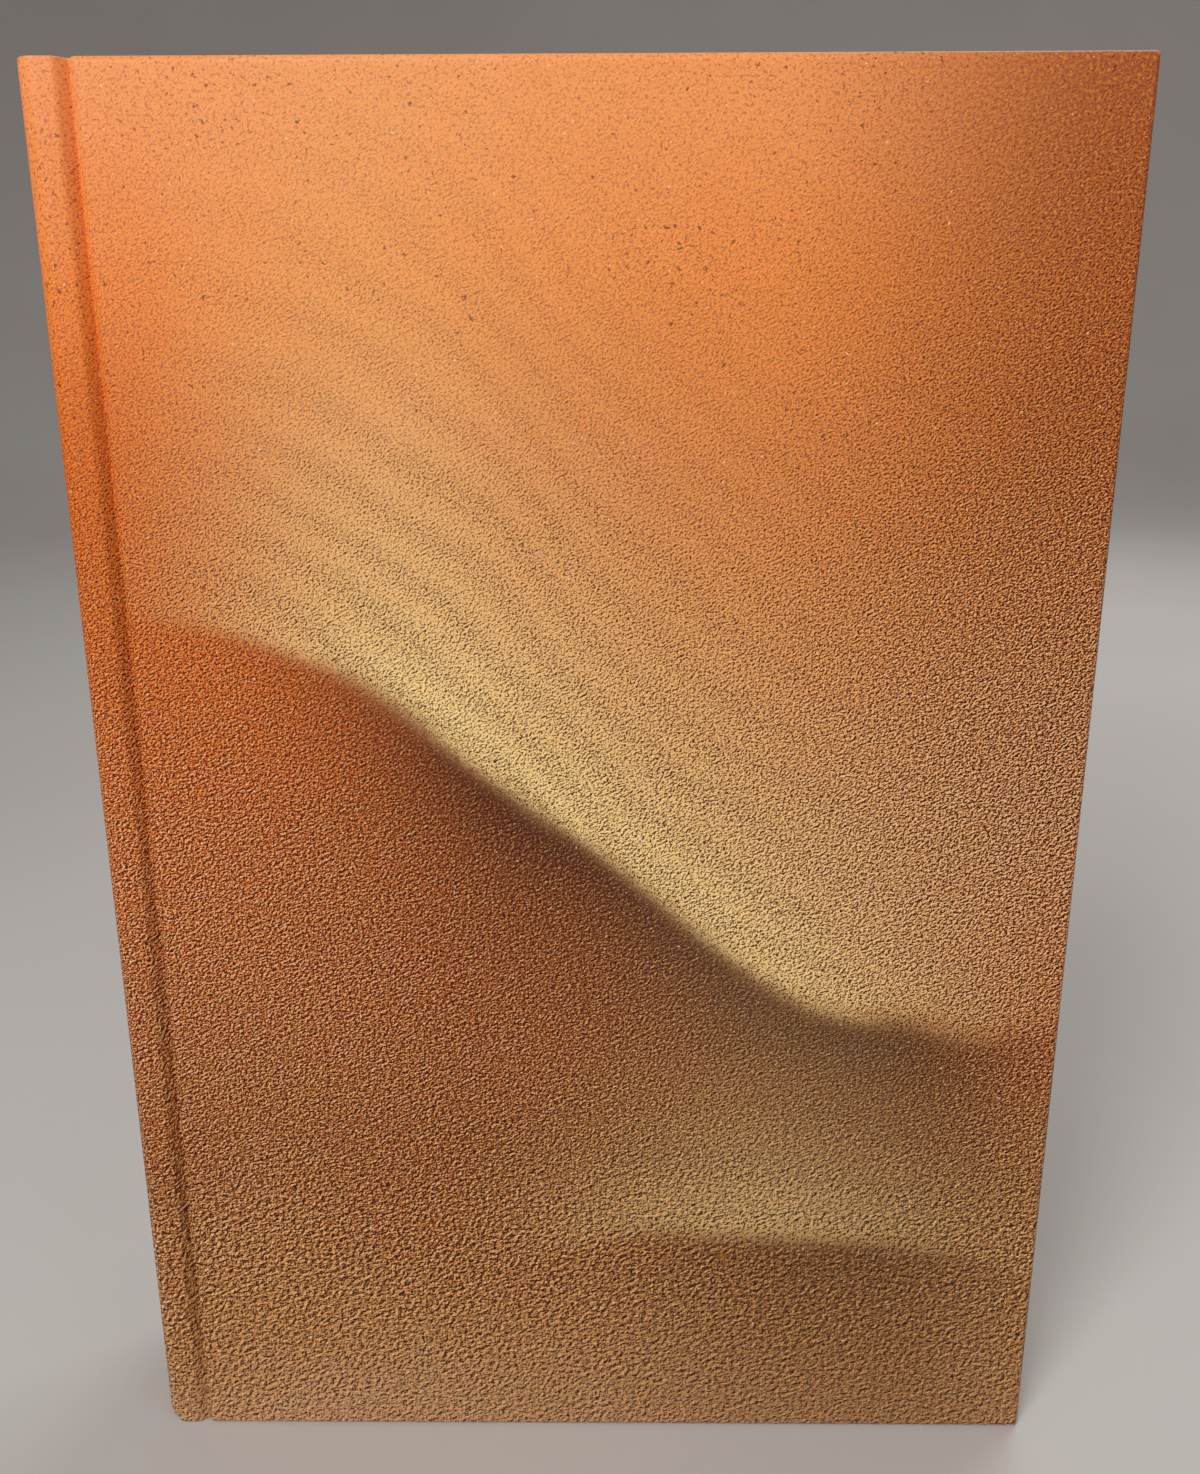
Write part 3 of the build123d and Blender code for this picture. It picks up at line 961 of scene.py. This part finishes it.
def dune(paint, ground, grain, wander, across, up, left, start, fall, swing, phase, depth):
    """One crest across the cover: rippled and lit above, smooth and in shade below."""
    bend_rate = 5.4
    wander_share = 0.05
    grain_share = 0.008
    edge_softness = 0.008
    fade_rate = 5.0 / depth
    color_share = 0.97 * depth
    calm_share = 0.75 * depth
    ripple_share = 0.2 * depth
    ripple_rate = 150.0
    ripple_wander = 22.0
    ripple_slant = 9.0

    # The line of the crest, and how far a place lies above it
    bend = paint.math("SINE", paint.math("MULTIPLY_ADD", across, bend_rate, phase))
    crest = paint.math("MULTIPLY_ADD", across, fall, start)
    crest = paint.math("MULTIPLY_ADD", bend, swing, crest)
    crest = paint.math("MULTIPLY_ADD", wander, wander_share, crest)
    crest = paint.math("MULTIPLY_ADD", grain, grain_share, crest)
    above = paint.math("SUBTRACT", up, crest)
    side = paint.step(above, -edge_softness, edge_softness)

    # The light and the shade fade away from the crest and towards its two ends
    over = paint.math("MULTIPLY", paint.math("MAXIMUM", above, 0.0), -fade_rate)
    under = paint.math("MULTIPLY", paint.math("MINIMUM", above, 0.0), fade_rate)
    lit_span = paint.math("MULTIPLY", paint.step(across, left, left + 0.4), paint.step(across, 1.05, 0.6))
    shade_start = paint.step(across, left + 0.1, left + 0.45)
    shade_span = paint.math("MULTIPLY", shade_start, paint.step(across, 1.1, 0.8))
    lit = paint.math("MULTIPLY", paint.math("EXPONENT", over), side)
    lit = paint.math("MULTIPLY", lit, lit_span)
    shade = paint.math("MULTIPLY", paint.math("EXPONENT", under), shade_span)
    shade = paint.math("MULTIPLY", shade, paint.math("SUBTRACT", 1.0, side))
    ground = paint.mix(paint.math("MULTIPLY", lit, color_share), ground, srgb(255, 228, 158))
    ground = paint.mix(paint.math("MULTIPLY", shade, color_share), ground, srgb(58, 24, 19))

    # Ripples in the light, and calmer grain in the shade
    ripple = paint.math("MULTIPLY_ADD", above, ripple_rate, paint.math("MULTIPLY", wander, ripple_wander))
    ripple = paint.math("SINE", paint.math("MULTIPLY_ADD", across, ripple_slant, ripple))
    ripple = paint.math("MULTIPLY", ripple, paint.math("MULTIPLY", lit, ripple_share))
    calm = paint.math("MULTIPLY_ADD", shade, -calm_share, 1.0)
    return ground, paint.math("MULTIPLY_ADD", grain, calm, ripple)


def leaf_paper():
    """Cream leaves: thin dark and light lines along their edges."""
    paint = Paint("leaf_paper", roughness=0.85, specular=0.2)
    place = paint.flat_place()
    lines = paint.noise(paint.stretched(place, (0.02, 6.0, 1.0)), scale=1.0, detail=3.0, roughness=0.7)
    shade = paint.ramp(lines, [
        (0.25, srgb(176, 160, 132)),
        (0.5, srgb(226, 213, 188)),
        (0.75, srgb(240, 230, 208)),
    ])
    blotch = paint.noise(place, scale=0.12, detail=3.0)
    shade = paint.mix(paint.range(blotch, 0.3, 0.8, first=0.0, last=0.25), shade, srgb(214, 198, 168))
    paint.bump(lines, strength=0.5, distance=0.0002)
    return paint.color(shade)


def endpaper(name, flat):
    """Cream paper with fine fibres. On a flat sheet that bends, they go with the sheet."""
    paint = Paint(name, roughness=0.8, specular=0.25)
    place = paint.flat_place() if flat else paint.solid_place()
    dimensions = "2D" if flat else "3D"
    fibres = paint.noise(place, scale=1.4, detail=6.0, roughness=0.65, dimensions=dimensions)
    shade = paint.ramp(fibres, [(0.3, srgb(222, 208, 184)), (0.7, srgb(238, 228, 208))])
    paint.bump(fibres, strength=0.15, distance=0.0001)
    return paint.color(shade)


def fibrous(name, dark, light, scale):
    """Board, card or wrapping paper with short fibres."""
    paint = Paint(name, roughness=0.9, specular=0.2)
    place = paint.solid_place()
    lengthened = paint.stretched(place, (1.0, 1.0, 0.4))
    fibres = paint.noise(lengthened, scale, detail=6.0, roughness=0.7, dimensions="3D")
    shade = paint.ramp(fibres, [(0.3, dark), (0.7, light)])
    paint.bump(fibres, strength=0.3, distance=0.0001)
    return paint.color(shade)


def woven(name, dark, light, pitch):
    """Open cloth: threads over and under each other."""
    paint = Paint(name, roughness=0.9, specular=0.2)
    parts = paint.node("ShaderNodeSeparateXYZ", paint.solid_place()).outputs
    rate = 2 * math.pi / pitch
    warp = paint.math("SINE", paint.math("MULTIPLY", parts[1], rate))
    weft = paint.math("SINE", paint.math("MULTIPLY", parts[2], rate))
    weave = paint.math("MULTIPLY_ADD", paint.math("MULTIPLY", warp, weft), 0.5, 0.5)
    shade = paint.ramp(weave, [(0.1, dark), (0.8, light)])
    paint.bump(weave, strength=0.5, distance=0.0002)
    return paint.color(shade)


def band_thread():
    """Two colours of thread in turn along the bead."""
    stripe_pitch = 1.68
    paint = Paint("band_thread", roughness=0.6, specular=0.3)
    place = paint.flat_place()
    parts = paint.node("ShaderNodeSeparateXYZ", place).outputs
    wave = paint.math("SINE", paint.math("MULTIPLY", parts[0], 2 * math.pi / stripe_pitch))
    stripe = paint.step(wave, -0.15, 0.15)
    fibres = paint.noise(paint.stretched(place, (6.0, 1.5, 1.0)), scale=2.0, detail=3.0)
    orange = paint.ramp(fibres, [(0.3, srgb(150, 78, 38)), (0.7, srgb(198, 112, 58))])
    cream = paint.ramp(fibres, [(0.3, srgb(196, 178, 146)), (0.7, srgb(234, 222, 194))])
    paint.bump(fibres, strength=0.3, distance=0.0001)
    return paint.color(paint.mix(stripe, orange, cream))


def floor_paint():
    paint = Paint("pale_floor", roughness=0.6, specular=0.3)
    place = paint.solid_place()
    blotch = paint.noise(place, scale=0.004, detail=3.0, dimensions="3D")
    return paint.color(paint.ramp(blotch, [(0.3, srgb(196, 191, 187)), (0.7, srgb(200, 196, 192))]))


def give(node, material):
    """A CAD node keeps its mesh and takes a material."""
    thing = frame["nodes"][node]
    thing.data.materials.clear()
    thing.data.materials.append(material)


# The pieces, and the materials of the nodes that are shown as they are
cover_material = sand_print()
cover_wrap("front_cover_wrap", -1, cover_material)
cover_wrap("back_cover_wrap", 1, cover_material)
spine_wrap(cover_material)
leaves(leaf_paper())
thread = band_thread()
end_band("sewn_head_band", "head_band", True, thread)
end_band("sewn_tail_band", "tail_band", False, thread)
pasted = endpaper("pasted_endpaper", flat=True)
pastedown("front_endpaper", -1, pasted)
pastedown("back_endpaper", 1, pasted)
free_paper = endpaper("endpaper", flat=False)
give("front_flyleaf", free_paper)
give("back_flyleaf", free_paper)
greyboard = fibrous("greyboard", srgb(116, 110, 100), srgb(146, 138, 126), scale=1.2)
give("front_board", greyboard)
give("back_board", greyboard)
give("spine_strip", fibrous("strip_card", srgb(138, 128, 110), srgb(166, 154, 134), scale=1.5))
give("spine_liner", fibrous("kraft_paper", srgb(150, 112, 72), srgb(182, 142, 96), scale=2.0))
give("spine_mull", woven("gauze", srgb(150, 140, 118), srgb(226, 216, 194), pitch=1.2))


def stage():
    """A pale round floor that rises in a wide sweep on all sides."""
    turn = np.linspace(0, math.pi / 2, stage_steps)
    rise = [(stage_radius - stage_sweep * (1 - math.sin(t)), stage_sweep * (1 - math.cos(t))) for t in turn]
    level = [(radius, 0.0) for radius in stage_rings]
    run = np.array([*level, *rise, (stage_radius, stage_height)])
    around = np.linspace(0, 2 * math.pi, 4 * stage_steps + 1)
    points = np.array([[(r * math.sin(a), r * math.cos(a), z) for a in around] for r, z in run])
    shell = Shell()
    shell.grid(points, np.zeros(2))
    floor = piece("floor", shell.mesh("floor"), floor_paint())


def lamp(name, place, size, power, spread=math.pi):
    """A soft rectangular lamp that looks at the middle of the book."""
    light = bpy.data.lights.new(name, "AREA")
    light.shape = "RECTANGLE"
    light.size, light.size_y = size
    light.energy = power
    light.spread = spread
    thing = bpy.data.objects.new(name, light)
    thing.location = place
    thing.rotation_mode = "QUATERNION"
    thing.rotation_quaternion = (Vector(lamp_aim) - Vector(place)).to_track_quat("-Z", "Y")
    bpy.context.scene.collection.objects.link(thing)


def camera():
    """The photograph's viewpoint, found from the four corners of the front cover."""
    data = bpy.data.cameras.new("camera")
    data.sensor_width = camera_sensor
    data.lens = camera_lens
    data.clip_start = camera_near
    thing = bpy.data.objects.new("camera", data)
    thing.location = camera_place
    thing.rotation_mode = "QUATERNION"
    roll = Quaternion((0, 0, 1), camera_roll)
    thing.rotation_quaternion = Vector(camera_forward).to_track_quat("-Z", "Y") @ roll
    bpy.context.scene.collection.objects.link(thing)
    bpy.context.scene.camera = thing


def world():
    made = bpy.data.worlds.new("studio")
    made.use_nodes = True
    made.node_tree.nodes["Background"].inputs[0].default_value = sky_color
    made.node_tree.nodes["Background"].inputs[1].default_value = sky_strength
    bpy.context.scene.world = made


stage()
lamp("key", place=(-0.52, -0.92, 0.75), size=(0.4, 0.9), power=3.15, spread=math.radians(90))
lamp("fill", place=(0.9, -0.8, 0.6), size=(0.8, 0.8), power=1.5)
lamp("back", place=(0.6, 0.8, 0.9), size=(0.8, 0.8), power=5.0)
camera()
world()
bpy.context.scene.view_settings.view_transform = "Standard"
